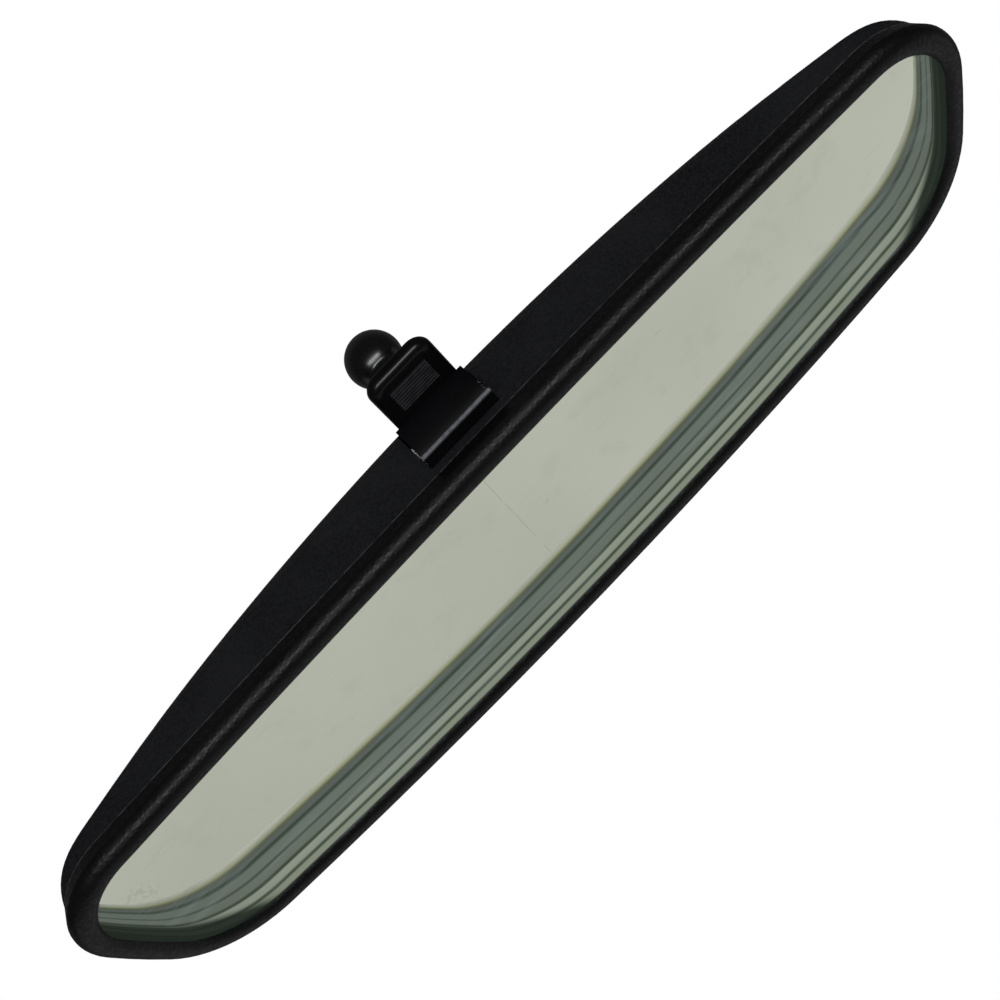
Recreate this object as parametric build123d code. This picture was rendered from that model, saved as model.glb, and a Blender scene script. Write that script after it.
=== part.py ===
from build123d import *
import math
import os

# Interior rearview mirror with a prismatic glass and a day/night lever.
# Millimetres. +Z is up in the car, the glass faces -Y, X runs along the width.
# The origin is the centre of the ball that the windscreen foot clamps.

# ---- outline: the line along the middle of the bezel's rounded bead ----
bead_half_length = 118.3      # half length, taken at mid height
bead_half_height = 30.8
top_edge_radius = 910.0
bottom_edge_radius = 2400.0
end_radius = 180.0
end_lean = 16.5               # the ends lean inwards towards the top, degrees
top_corner_radius = 25.5
bottom_corner_radius = 16.5
case_centre_z = 5.0           # mid height of the case above the ball

# ---- bezel ----
bead_setback = 56.0           # ball centre to the bead line
bead_radius = 3.4
bezel_rear_depth = 3.4        # bead line to the seam with the case
bezel_rear_inset = 1.5        # the bezel's wall draws in by this much towards the seam
lip_inset = 2.6               # bead line to the edge of the visible glass
lip_thickness = 1.0
pocket_inset = 1.4            # bead line to the wall that surrounds the glass
skirt_depth = 3.0             # how far the bezel reaches into the case
skirt_half_length = 86.0
skirt_notch_gap = 0.5         # skirt to the lever slot's trim
skirt_clearance = 0.1
hook_length = 12.0
hook_thickness = 1.0
hook_catch = 0.6
hook_clearance = 0.2
hook_setback = 0.4            # hook to the skirt's end
hook_root = 0.35              # how deep the hooks start inside the skirt
hook_spots = (28.0, 76.0)     # along the long walls, from the middle
bead_outer_fillet = 3.1
bead_inner_fillet = 2.4
bezel_rear_fillet = 0.3

# ---- glass: a wedge, thick edge up ----
tilt_travel = 4.5             # day to night, degrees
glass_index = 1.52
glass_top_thickness = 5.0
glass_clearance = 0.3
silver_thickness = 0.15
film_thickness = 0.4

# ---- case ----
case_step = 0.4               # the case is this much smaller than the bezel's rear edge
case_wall = 1.8
case_draft = 6.0              # degrees
case_depth = 24.6             # bead line to the back, at the middle
case_back_radius = 480.0      # bow of the back along the width
case_edge_radius = 14.5       # rounding between the back and the long walls
case_edge_share = 0.6        # the rounding takes no more than this share of the wall
case_steepest = 0.85          # sine of the steepest slope of the rounding
shoulder_width = 20.4         # the back turns down this far from the end walls
shoulder_radius = 6.0
skin_count_x = 20             # steps of the smooth patch that makes the back
skin_count_z = 16
skin_margin = 4.0             # how far the patch runs past the bead line
least_height = 0.8            # of the case's rim beyond its shoulders
shoulder_blend = 2.0          # hollow curve between the shoulders and that rim
least_round = 0.5
hollow_lead = 1.0             # how far the hollow runs out of the case's front
rib_thickness = 1.5
rib_height = 7.0
rib_spacing = 52.0            # from the middle to the inner ribs

# ---- ball stud ----
ball_radius = 6.5
neck_radius = 4.2
neck_blend = 1.6
flange_radius = 7.0
flange_thickness = 2.0
square_width = 7.6
thread_radius = 3.0
thread_past_nut = 1.0
thread_chamfer = 0.5
shank_setback = 0.3           # the square shank ends inside the plate, so the nut clamps it
nut_width = 10.0
nut_thickness = 5.0
washer_radius = 6.0
washer_thickness = 1.2
shield_radius = 7.5
shield_thickness = 1.0
neck_opening_gap = 1.2        # all round the neck, plus what the tilt needs

# ---- carrier: the plate that the case swings on ----
hinge_lead = 0.5              # plate's rear face to the hinge pin, towards the glass
hinge_z = 26.0
carrier_half_width = 12.0
carrier_thickness = 2.5
carrier_room = 8.3            # inside of the case's back to the plate's rear face
barrel_radius = 3.6
bush_radius = 2.5
bush_length = 4.0
pin_radius = 1.5
running_gap = 0.05
seat_gap = 0.02
fork_half_width = 4.9
fork_wall = 1.6
fork_gap = 0.12
fork_reach = 2.5              # below the drive pin
fork_height = 4.2
fork_root = 1.0               # how far the plate reaches down into the fork
fork_head = 0.5               # room over the drive pin

# ---- day/night lever ----
lever_pivot_lag = 1.5         # plate's rear face to the lever's pin, towards the ball
lever_pivot_z = -17.0
lever_travel = 34.0           # degrees
lever_day_lean = 8.0          # the tip leans away from the driver by day
lever_length = 24.6
lever_width = 16.2
lever_thickness = 3.2
lever_corner = 3.7
lever_edge = 2.0
lever_hub_radius = 4.0
lever_play = 0.15             # cheek to spacer
cover_radius = 12.3           # the curved cover that shuts the slot round the lever
cover_thickness = 1.2
cover_cheek = 4.0             # depth of the cover's two side walls
cover_gap = 0.35              # cover to the slot's sides
cover_front = 50.0            # degrees from straight down towards the glass
cover_rear = 1.0              # and towards the ball, where the tab carries it
lever_arm_radius = 2.6
cheek_gap = 0.3
grip_width = 9.6
grip_rib_count = 8
grip_pitch = 0.75
grip_rib_height = 0.3
grip_rib_root = 0.5
grip_start = 4.4              # from the tip to the first rib

# ---- slot trim round the lever ----
slot_half_width = 9.4
slot_front_lead = 2.1         # seam to the slot's front edge
slot_rear_lag = 4.8           # lever's pin to the slot's rear edge
trim_gap = 0.1
trim_wall = 0.9
ledge_sink = 0.3              # the ledge ends this far short of the wall's inner face
peg_radius = 0.5              # two pegs hold the ledge in the slot's front edge
peg_length = 1.2
peg_x = 6.0
ledge_height = 3.9            # how far the ledge stands out of the case
ledge_round = 0.35

# ---- mechanism frame ----
frame_plate_thickness = 2.0
frame_lead = 2.0              # carrier plate to the frame's plate
frame_half_width = 38.0
frame_top_z = 31.0
frame_bottom_z = -20.0
frame_corner = 5.0
frame_top_bar = 3.0
ear_gap = 1.0                 # carrier plate to ear
ear_thickness = 2.0
ear_round = 4.0
ear_foot = 1.0                # the ears start this deep in the plate
cross_bar_z = -9.0
cross_bar_height = 4.0
screw_x = 32.0
screw_top_z = 25.0
screw_bottom_z = -13.0
screw_radius = 1.2
screw_length = 9.0
screw_head_radius = 2.8
screw_head_height = 1.9
screw_head_round = 0.8
screw_recess = 0.8
screw_recess_arm = 1.7
screw_recess_half = 0.35
screw_hole_spare = 1.0        # hole left past the screw's end
boss_radius = 4.0
plate_hole_gap = 0.4

# ---- small parts ----
pin_end = 2.0                 # how far the pins stand out of the ears
retainer_radius = 3.0
retainer_thickness = 0.8
friction_washer_radius = 3.4
friction_washer_play = 0.1
drive_pin_inset = 0.1         # pin end to the cheek's outer face
spring_thickness = 0.4
spring_gap = 0.4              # spring finger to lever hub
spring_pad_half_width = 12.0
spring_pad_height = 3.0
spring_reach = 3.0            # below the lever pivot
spring_ramp = 2.0
rivet_radius = 0.8
rivet_head_radius = 1.3
rivet_head_height = 0.6
rivet_x = 10.2
bumper_radius = 2.0
bumper_gap = 0.2              # left when the tilt is at its end
bumper_x = 8.5
bumper_z = -5.0
bumper_boss_radius = 3.0
bumper_length = 3.0
cushion_post_radius = 4.5
cushion_x = 75.0
cushion_top_z = 20.0
cushion_bottom_z = -12.0
cushion_post_lead = 2.0       # frame plate's front to the posts' ends
cushion_size = 7.0
plate_cushion_x = 25.0

# ---- worked out from the sizes above ----
bead_y = -bead_setback
bezel_front_y = bead_y - bead_radius
seam_y = bead_y + bezel_rear_depth
glass_front_y = bezel_front_y + lip_thickness
glass_inset = pocket_inset + glass_clearance
glass_top_z = case_centre_z + bead_half_height - glass_inset
wedge_angle = tilt_travel / glass_index
case_inset = case_step + bezel_rear_inset - bead_radius
carrier_y = bead_y + case_depth - case_wall - carrier_room
carrier_front_y = carrier_y - carrier_thickness
hinge_y = carrier_y - hinge_lead
pivot_y = carrier_y + lever_pivot_lag
slot_front_y = seam_y + slot_front_lead
slot_rear_y = pivot_y + slot_rear_lag
pivot_z = lever_pivot_z
swing = math.radians(tilt_travel)
half_throw = math.radians(lever_travel / 2)
# the drive pin's circle, so that the lever's travel swings the case by tilt_travel
pivot_drop = hinge_z - pivot_z
drive_radius = pivot_drop * math.sin(swing / 2) / (math.sin(half_throw) + math.sin(swing / 2))
drive_y = pivot_y - drive_radius * math.sin(half_throw)
drive_z = pivot_z + drive_radius * math.cos(half_throw)
cheek_inner = fork_half_width + cheek_gap
ear_inner = carrier_half_width + ear_gap
ear_outer = ear_inner + ear_thickness
frame_y = carrier_front_y - frame_lead
frame_front_y = frame_y - frame_plate_thickness
cushion_post_y = frame_front_y - cushion_post_lead
spring_y = pivot_y - lever_hub_radius - spring_gap
case_bottom_z = case_centre_z - bead_half_height + case_inset
bumper_front_y = carrier_y + (hinge_z - bumper_z) * math.sin(swing) + bumper_gap
bumper_seat_y = bumper_front_y + bumper_length
hook_y = seam_y + skirt_depth - hook_thickness - hook_setback
draft_slope = math.tan(math.radians(case_draft))
far = 4 * bead_half_length    # farther away than any face
past = 1.0                    # how far a cutting tool runs past the face it cuts


def block(x0, x1, y0, y1, z0, z1):
    """A box given by its limits."""
    middle = Pos((x0 + x1) / 2, (y0 + y1) / 2, (z0 + z1) / 2)
    return middle * Box(abs(x1 - x0), abs(y1 - y0), abs(z1 - z0))


def rod_x(radius, x0, x1, y, z):
    """A cylinder along X."""
    return Pos((x0 + x1) / 2, y, z) * Rot(0, 90, 0) * Cylinder(radius, abs(x1 - x0))


def rod_y(radius, y0, y1, x, z):
    """A cylinder along Y."""
    return Pos(x, (y0 + y1) / 2, z) * Rot(90, 0, 0) * Cylinder(radius, abs(y1 - y0))


def prism(sketch, y0, y1, taper=0):
    """A sketch in X and Z, pushed along +Y from y0 to y1, narrowing by the taper."""
    return extrude(Pos(0, y0, 0) * (Plane.XZ * sketch), amount=y1 - y0, dir=(0, 1, 0), taper=taper)


def side_plate(sketch, x0, x1):
    """A sketch in Y and Z, pushed along +X from x0 to x1."""
    return extrude(Pos(x0, 0, 0) * (Plane.YZ * sketch), amount=x1 - x0, dir=(1, 0, 0))


def one(shapes):
    """All the shapes of a group as one compound of separate solids."""
    return Compound(children=[solid for shape in shapes for solid in shape.solids()])


def outline_discs():
    """The four large circles whose common area is the outline: x, z and radius."""
    lean = math.radians(end_lean)
    end_x = bead_half_length - end_radius * math.cos(lean)
    end_z = -end_radius * math.sin(lean)
    return [
        (0, bead_half_height - top_edge_radius, top_edge_radius),
        (0, bottom_edge_radius - bead_half_height, bottom_edge_radius),
        (end_x, end_z, end_radius),
        (-end_x, end_z, end_radius),
    ]


def outline(inset):
    """The bead line, moved inwards by the inset."""
    shape = None
    for x, z, radius in outline_discs():
        disc = Pos(x, z) * Circle(radius - inset)
        shape = disc if shape is None else shape & disc
    shape = fillet([v for v in shape.vertices() if v.Y < 0], bottom_corner_radius - inset)
    shape = fillet([v for v in shape.vertices() if v.Y > 0], top_corner_radius - inset)
    return Pos(0, case_centre_z) * shape


def wall_distance(x, z, inset):
    """Distance from the point x, z to the case's wall at the seam, with its corners rounded."""
    upper, lower, *ends = [
        radius - case_inset - inset - math.hypot(x - cx, z - case_centre_z - cz)
        for cx, cz, radius in outline_discs()
    ]
    end = min(ends)
    distances = []
    for wall, corner in ((lower, bottom_corner_radius), (upper, top_corner_radius)):
        radius = corner - case_inset - inset
        if wall < radius and end < radius:
            distances.append(radius - math.hypot(radius - wall, radius - end))
        else:
            distances.append(min(wall, end))
    return min(distances)


def end_distance(x, z):
    """Distance from the point x, z to the case's end wall at the seam."""
    centre_x, centre_z, radius = outline_discs()[2]
    return radius - case_inset - math.hypot(abs(x) - centre_x, z - case_centre_z - centre_z)


def back_y(x, z, inset):
    """Height of the case's bowed back over the point x, z, rounded down to its walls."""
    depth = case_depth - x * x / (2 * case_back_radius)
    depth -= max(0, shoulder_width - end_distance(x, z)) ** 2 / (2 * shoulder_radius)
    free = depth - bezel_rear_depth - least_height
    height = least_height + (free + math.hypot(free, shoulder_blend)) / 2
    radius = min(case_edge_radius, case_edge_share * height)
    foot = (height - radius) * draft_slope
    radius = max(least_round, radius - inset)
    part = max(0, 1 - (wall_distance(x, z, inset) - foot) / radius)
    slope = case_steepest / math.sqrt(1 - case_steepest ** 2)
    drop = 1 - math.sqrt(1 - min(part, case_steepest) ** 2) + max(0, part - case_steepest) * slope
    return seam_y - inset + max(least_height, height - radius * drop)


def patch_weights(degree):
    """How much each control point of a smooth curve counts over each of its control points."""
    steps = range(degree + 1)
    shares = [i / degree for i in steps]
    return [[math.comb(degree, k) * s ** k * (1 - s) ** (degree - k) for k in steps] for s in shares]


def case_skin(inset):
    """The case's back as one smooth patch, its control points raised by what the patch smooths off."""
    half_x = bead_half_length + skin_margin
    half_z = bead_half_height + skin_margin
    xs = [half_x * (2 * i / skin_count_x - 1) for i in range(skin_count_x + 1)]
    zs = [case_centre_z + half_z * (2 * i / skin_count_z - 1) for i in range(skin_count_z + 1)]
    weights_x = patch_weights(skin_count_x)
    weights_z = patch_weights(skin_count_z)
    wanted = [[back_y(x, z, inset) for z in zs] for x in xs]
    across = [[sum(w * y for w, y in zip(row, line)) for row in weights_z] for line in wanted]
    smooth = [[sum(w * y for w, y in zip(row, line)) for line in zip(*across)] for row in weights_x]
    return Face.make_bezier_surface([
        [Vector(x, 2 * y - y_smooth, z) for z, y, y_smooth in zip(zs, line, smooth_line)]
        for x, line, smooth_line in zip(xs, wanted, smooth)
    ])


def case_body(inset, lead=0.0):
    """The case as one solid, its skin moved inwards by the inset."""
    under_skin = extrude(case_skin(inset), amount=far, dir=(0, -1, 0))
    start = case_inset + inset - lead * draft_slope
    walls = prism(outline(start), seam_y - lead, bead_y + 2 * case_depth, taper=case_draft)
    return max((walls & under_skin).solids(), key=lambda solid: solid.volume)


def wedge_y(z):
    """The rear face of the glass at a height."""
    slope = math.tan(math.radians(wedge_angle))
    return glass_front_y + glass_top_thickness - (glass_top_z - z) * slope


def wedge_layer(front, rear, inset):
    """A layer on the rear of the glass between two distances from its rear face."""
    z0 = case_centre_z - 2 * bead_half_height
    z1 = case_centre_z + 2 * bead_half_height
    face = Polygon(
        (wedge_y(z0) + front, z0), (wedge_y(z0) + rear, z0),
        (wedge_y(z1) + rear, z1), (wedge_y(z1) + front, z1), align=None,
    )
    return prism(outline(inset), glass_front_y, 0) & side_plate(face, -far, far)


def hook_boxes(grow):
    """Boxes that pick out the snap hooks along the bezel's edges."""
    half = hook_length / 2 + grow
    spots = [side * x for side in (-1, 1) for x in hook_spots]
    return [block(x - half, x + half, seam_y, 0, -far, far) for x in spots]


def hook_ring(reach, y0, y1, grow):
    """The hooks themselves, or with growth the catches that they drop into."""
    ring = prism(outline(case_inset + case_wall - reach), y0, y1)
    ring -= prism(outline(pocket_inset - hook_root), y0 - past, y1 + past)
    return [solid for box in hook_boxes(grow) for solid in (ring & box).solids()]


def edges_at(shape, y):
    """The edges of a shape that lie in the plane y."""
    return [e for e in shape.edges() if abs(e.center().Y - y) < running_gap]


def rim(shape, y, inset, within):
    """The edges of a ring in the plane y that lie within the bead line moved by the inset, or not."""
    edges = edges_at(shape, y)
    walls = [
        min(radius - inset - math.hypot(e.position_at(0.5).X - cx, e.position_at(0.5).Z - case_centre_z - cz)
            for cx, cz, radius in outline_discs())
        for e in edges
    ]
    return [e for e, wall in zip(edges, walls) if (wall > 0) == within]


def front_bezel():
    """Front frame: a rounded bead that laps over the glass, and a skirt with snap hooks."""
    draw = math.degrees(math.atan(bezel_rear_inset / bezel_rear_depth))
    bead = prism(outline(-bead_radius), bezel_front_y, bead_y)
    bead += prism(outline(-bead_radius), bead_y, seam_y, taper=draw)
    bead -= prism(outline(lip_inset), bezel_front_y - past, seam_y + past)
    bead = fillet(rim(bead, bezel_front_y, 0, False), bead_outer_fillet)
    bead = fillet(rim(bead, bezel_front_y, lip_inset / 2, True), bead_inner_fillet)
    bead = fillet(rim(bead, seam_y, 0, False), bezel_rear_fillet)
    skirt_inset = case_inset + case_wall + skirt_clearance + skirt_depth * draft_slope
    skirt = prism(outline(skirt_inset), seam_y, seam_y + skirt_depth)
    skirt &= block(-skirt_half_length, skirt_half_length, seam_y, far, -far, far)
    notch = slot_half_width + skirt_notch_gap
    skirt -= block(-notch, notch, slot_front_y - skirt_notch_gap, far, -far, 0)
    body = bead + skirt
    for hook in hook_ring(hook_catch, hook_y, hook_y + hook_thickness, 0):
        body += hook
    return body - prism(outline(pocket_inset), glass_front_y, seam_y + skirt_depth + past)


def mirror_glass():
    """Prismatic glass, thicker along its top edge."""
    return wedge_layer(-2 * glass_top_thickness, 0, glass_inset)


def silver_coating():
    """Silver and its paint on the rear face of the glass."""
    return wedge_layer(0, silver_thickness, glass_inset)


def backing_film():
    """Film that holds the pieces together if the glass breaks."""
    return wedge_layer(silver_thickness, silver_thickness + film_thickness, glass_inset)


def foam_cushions():
    """Foam blocks between the film and what stands behind it."""
    half = cushion_size / 2
    film_rear = silver_thickness + film_thickness
    spots = [(x, z, cushion_post_y) for x in (-cushion_x, cushion_x)
             for z in (cushion_bottom_z, cushion_top_z)]
    spots += [(x, case_centre_z, frame_front_y) for x in (-plate_cushion_x, plate_cushion_x)]
    pads = []
    for x, z, rear in spots:
        z0, z1 = z - half, z + half
        face = Polygon(
            (wedge_y(z0) + film_rear, z0), (rear, z0), (rear, z1), (wedge_y(z1) + film_rear, z1), align=None,
        )
        pads.append(side_plate(face, x - half, x + half))
    return one(pads)


def neck_slot(radius, y0, y1):
    """The opening round the neck, tall enough for the neck's travel as the case tilts."""
    rise = (bead_y + case_depth - hinge_y) * math.sin(swing)
    low = rod_y(radius, y0, y1, 0, 0)
    high = rod_y(radius, y0, y1, 0, rise)
    return low + high + block(-radius, radius, y0, y1, 0, rise)


def corners_of(x, *heights):
    """The points at plus and minus x, at each height."""
    return [(side * x, z) for side in (-1, 1) for z in heights]


def rear_housing(outer):
    """Case: bowed back, lever slot, neck opening, screw bosses, cushion posts and ribs."""
    screws = corners_of(screw_x, screw_bottom_z, screw_top_z)
    posts = [rod_y(boss_radius, frame_y, 0, x, z) for x, z in screws]
    for x, z in corners_of(cushion_x, cushion_bottom_z, cushion_top_z):
        posts.append(rod_y(cushion_post_radius, cushion_post_y, 0, x, z))
    for x, z in corners_of(bumper_x, bumper_z):
        posts.append(rod_y(bumper_boss_radius, bumper_seat_y, 0, x, z))
    for x in (-rib_spacing, rib_spacing):
        top = back_y(x, case_centre_z, case_wall) - rib_height
        posts.append(block(x - rib_thickness / 2, x + rib_thickness / 2, top, 0, -far, far))
    hollow = case_body(case_wall, lead=hollow_lead) - posts
    cuts = [hollow, block(-slot_half_width, slot_half_width, slot_front_y, slot_rear_y, -far, pivot_z)]
    cuts.append(neck_slot(neck_radius + neck_opening_gap, bead_y + case_depth - 3 * case_wall, 0))
    for x, z in screws:
        cuts.append(rod_y(screw_radius + running_gap, frame_y - past, frame_y + screw_length, x, z))
    cuts += ledge_pegs(running_gap)
    cuts += hook_ring(hook_catch + hook_clearance, hook_y - hook_clearance,
                      hook_y + hook_thickness + hook_clearance, hook_clearance)
    return outer - cuts


def ledge_pegs(gap):
    """The pegs of the ledge, or with a gap the holes that they go into."""
    z = case_bottom_z + slot_front_lead * draft_slope + case_wall / 2
    tip = slot_front_y - peg_length - gap
    root = slot_front_y + trim_gap + trim_wall / 2
    return [rod_y(peg_radius + gap, tip, root, x, z) for x in (-peg_x, peg_x)]


def slot_trim():
    """Ledge along the slot's front edge, held by two pegs."""
    half = slot_half_width - trim_gap
    front = slot_front_y + trim_gap
    top = case_bottom_z + slot_front_lead * draft_slope + case_wall - ledge_sink
    ledge = block(-half, half, front, front + trim_wall, case_bottom_z - ledge_height, top)
    ledge = fillet(ledge.edges().filter_by(Axis.X).group_by(Axis.Z)[0], ledge_round)
    for peg in ledge_pegs(0):
        ledge += peg
    return ledge


def ball_stud():
    """Ball, neck, flange, square shank and threaded end, turned and formed in one piece."""
    flange_rear = carrier_y + flange_thickness
    ball = Sphere(ball_radius)
    neck = rod_y(neck_radius, carrier_y, 0, 0, 0)
    stud = ball + neck
    joint_y = -math.sqrt(ball_radius ** 2 - neck_radius ** 2)
    stud = fillet(edges_at(stud, joint_y), neck_blend)
    stud += rod_y(flange_radius, carrier_y, flange_rear, 0, 0)
    half = square_width / 2
    stud += block(-half, half, carrier_front_y + shank_setback, carrier_y, -half, half)
    end_y = carrier_front_y - washer_thickness - nut_thickness - thread_past_nut
    thread = rod_y(thread_radius, end_y, carrier_y, 0, 0)
    return stud + chamfer(edges_at(thread, end_y), thread_chamfer)


def stud_carrier():
    """Plate with the hinge barrel on top, the stud's square hole and the drive fork below."""
    plate = block(-carrier_half_width, carrier_half_width, carrier_front_y, carrier_y,
                  drive_z + fork_height - fork_root, hinge_z)
    barrel = rod_x(barrel_radius, -carrier_half_width, carrier_half_width, hinge_y, hinge_z)
    slot = pin_radius + fork_gap
    fork = block(-fork_half_width, fork_half_width, drive_y - slot - fork_wall,
                 drive_y + slot + fork_wall, drive_z - fork_reach, drive_z + fork_height)
    fork -= block(-carrier_half_width, carrier_half_width, drive_y - slot, drive_y + slot,
                  drive_z - 2 * fork_reach, drive_z + slot + fork_head)
    body = plate + barrel + fork
    half = square_width / 2 + seat_gap
    body -= block(-half, half, carrier_front_y - past, carrier_y + past, -half, half)
    body -= rod_x(pin_radius + running_gap, -far, far, hinge_y, hinge_z)
    for side in (-1, 1):
        body -= rod_x(bush_radius + seat_gap, side * (carrier_half_width - bush_length),
                      side * (carrier_half_width + past), hinge_y, hinge_z)
    return body


def hinge_bushes():
    """Plastic bushes in the two ends of the barrel."""
    bushes = []
    for side in (-1, 1):
        x0, x1 = sorted((side * (carrier_half_width - bush_length), side * carrier_half_width))
        bush = rod_x(bush_radius, x0, x1, hinge_y, hinge_z)
        bushes.append(bush - rod_x(pin_radius + running_gap, -far, far, hinge_y, hinge_z))
    return one(bushes)


def stud_washer():
    """Plain washer under the stud's nut."""
    rear = carrier_front_y
    disc = rod_y(washer_radius, rear - washer_thickness, rear, 0, 0)
    return disc - rod_y(thread_radius + running_gap, -far, far, 0, 0)


def stud_nut():
    """Hexagon nut on the threaded end of the stud."""
    rear = carrier_front_y - washer_thickness
    nut = prism(RegularPolygon(nut_width / 2, 6, major_radius=False), rear - nut_thickness, rear)
    return nut - rod_y(thread_radius + running_gap, -far, far, 0, 0)


def dust_shield():
    """Rubber disc on the neck that closes the view through the neck opening."""
    front = carrier_y + flange_thickness
    disc = rod_y(shield_radius, front, front + shield_thickness, 0, 0)
    return disc - rod_y(neck_radius + running_gap, -far, far, 0, 0)


def mechanism_frame():
    """Frame screwed into the case: window plate, two ears for the pins, and a cross bar."""
    width = frame_half_width
    plate = block(-width, width, frame_front_y, frame_y, frame_bottom_z, frame_top_z)
    plate = fillet(plate.edges().filter_by(Axis.Y), frame_corner)
    plate -= block(-ear_inner, ear_inner, -far, far, -far, frame_top_z - frame_top_bar)
    bar_half = cross_bar_height / 2
    plate += block(-ear_outer, ear_outer, frame_front_y, frame_y,
                   cross_bar_z - bar_half, cross_bar_z + bar_half)
    profile = make_hull(
        (Pos(hinge_y, hinge_z) * Circle(ear_round)).edges()
        + (Pos(pivot_y, pivot_z) * Circle(ear_round)).edges()
        + (Pos(frame_y - ear_foot / 2, pivot_z + pivot_drop / 2) * Rectangle(ear_foot, pivot_drop)).edges()
    )
    ears = [side_plate(profile, x, x + ear_thickness) for x in (ear_inner, -ear_outer)]
    body = plate + ears[0] + ears[1]
    for y, z in ((hinge_y, hinge_z), (pivot_y, pivot_z)):
        body -= rod_x(pin_radius + seat_gap, -far, far, y, z)
    for x, z in corners_of(screw_x, screw_bottom_z, screw_top_z):
        body -= rod_y(screw_radius + plate_hole_gap, -far, far, x, z)
    for x, z in corners_of(rivet_x, cross_bar_z):
        body -= rod_y(rivet_radius + seat_gap, -far, far, x, z)
    return body


def frame_screws():
    """Four pan-head screws that hold the frame to the case's bosses."""
    screws = []
    head_y = frame_front_y - screw_head_height
    end_y = frame_y + screw_length - screw_hole_spare
    arms = (screw_recess_arm, screw_recess_half)
    for x, z in corners_of(screw_x, screw_bottom_z, screw_top_z):
        head = rod_y(screw_head_radius, head_y, frame_front_y, x, z)
        head = fillet(edges_at(head, head_y), screw_head_round)
        for wide, tall in (arms, arms[::-1]):
            head -= block(x - wide, x + wide, head_y - past, head_y + screw_recess, z - tall, z + tall)
        screws.append(head + rod_y(screw_radius, frame_front_y, end_y, x, z))
    return one(screws)


def long_pin(y, z):
    """Steel pin that spans the frame's ears."""
    end = ear_outer + pin_end
    return rod_x(pin_radius, -end, end, y, z)


def pin_retainers():
    """Push-on rings on the four pin ends, against the ears."""
    rings = []
    for y, z in ((hinge_y, hinge_z), (pivot_y, pivot_z)):
        for side in (-1, 1):
            x0, x1 = side * ear_outer, side * (ear_outer + retainer_thickness)
            ring = rod_x(retainer_radius, x0, x1, y, z)
            rings.append(ring - rod_x(pin_radius + seat_gap, -far, far, y, z))
    return one(rings)


def friction_washers():
    """Washers between the hinge barrel and the ears that keep the case from rattling."""
    rings = []
    for side in (-1, 1):
        x0 = side * (carrier_half_width + friction_washer_play)
        x1 = side * (ear_inner - seat_gap)
        ring = rod_x(friction_washer_radius, x0, x1, hinge_y, hinge_z)
        rings.append(ring - rod_x(pin_radius + running_gap, -far, far, hinge_y, hinge_z))
    return one(rings)


def lever_spacers():
    """Sleeves on the lever's pin that keep the lever in the middle of the slot."""
    sleeves = []
    for side in (-1, 1):
        x0 = side * (lever_width / 2 + lever_play)
        x1 = side * (ear_inner - seat_gap)
        sleeve = rod_x(retainer_radius, x0, x1, pivot_y, pivot_z)
        sleeves.append(sleeve - rod_x(pin_radius + running_gap, -far, far, pivot_y, pivot_z))
    return one(sleeves)


def lever_blade():
    """The tab of the lever hanging straight down from the pivot, before it is leaned."""
    half = lever_width / 2
    face = Polygon((-half, 0), (-half, -lever_length), (half, -lever_length), (half, 0), align=None)
    face = fillet([v for v in face.vertices() if v.Y < -lever_corner], lever_corner)
    front = -lever_thickness / 2
    blade = prism(face, front, -front)
    for y, radius in ((front, lever_edge), (-front, lever_edge / 2)):
        blade = fillet([e for e in edges_at(blade, y) if e.center().Z < -lever_edge], radius)
    for i in range(grip_rib_count):
        z = grip_start + i * grip_pitch - lever_length
        blade += block(-grip_width / 2, grip_width / 2, front - grip_rib_height, front + grip_rib_root,
                       z - grip_pitch / 4, z + grip_pitch / 4)
    return blade


def cover_sector(inner, half_width):
    """A curved wall about the lever's pin, from its inner radius to the cover's outside."""
    wedge = [(0, 0)]
    for angle in (-cover_front, (cover_rear - cover_front) / 2, cover_rear):
        reach = math.radians(angle)
        wedge.append((2 * cover_radius * math.sin(reach), -2 * cover_radius * math.cos(reach)))
    ring = Circle(cover_radius) - Circle(inner)
    face = Pos(pivot_y, pivot_z) * (ring & Polygon(*wedge, align=None))
    return side_plate(face, -half_width, half_width)


def slot_cover():
    """Curved cover of the slot, with a side wall at each end."""
    half = slot_half_width - cover_gap
    cheeks = cover_sector(cover_radius - cover_cheek, half)
    cheeks -= block(cover_thickness - half, half - cover_thickness, -far, far, -far, far)
    return cover_sector(cover_radius - cover_thickness, half) + cheeks


def day_night_lever():
    """Tab, the cover of its slot, two cheeks on the pivot pin and the holes for the drive pin."""
    blade = lever_blade()
    blade -= block(-cheek_inner, cheek_inner, -far, far, -lever_hub_radius - past, far)
    body = Pos(0, pivot_y, pivot_z) * Rot(lever_day_lean, 0, 0) * blade
    body += slot_cover()
    arm = make_hull(
        (Pos(pivot_y, pivot_z) * Circle(lever_hub_radius)).edges()
        + (Pos(drive_y, drive_z) * Circle(lever_arm_radius)).edges()
    )
    for x in (cheek_inner, -lever_width / 2):
        body += side_plate(arm, x, x + lever_width / 2 - cheek_inner)
    body -= rod_x(pin_radius + running_gap, -far, far, pivot_y, pivot_z)
    return body - rod_x(pin_radius + seat_gap, -far, far, drive_y, drive_z)


def drive_pin():
    """Pin across the lever's cheeks that runs in the carrier's fork."""
    end = lever_width / 2 - drive_pin_inset
    return rod_x(pin_radius, -end, end, drive_y, drive_z)


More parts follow.
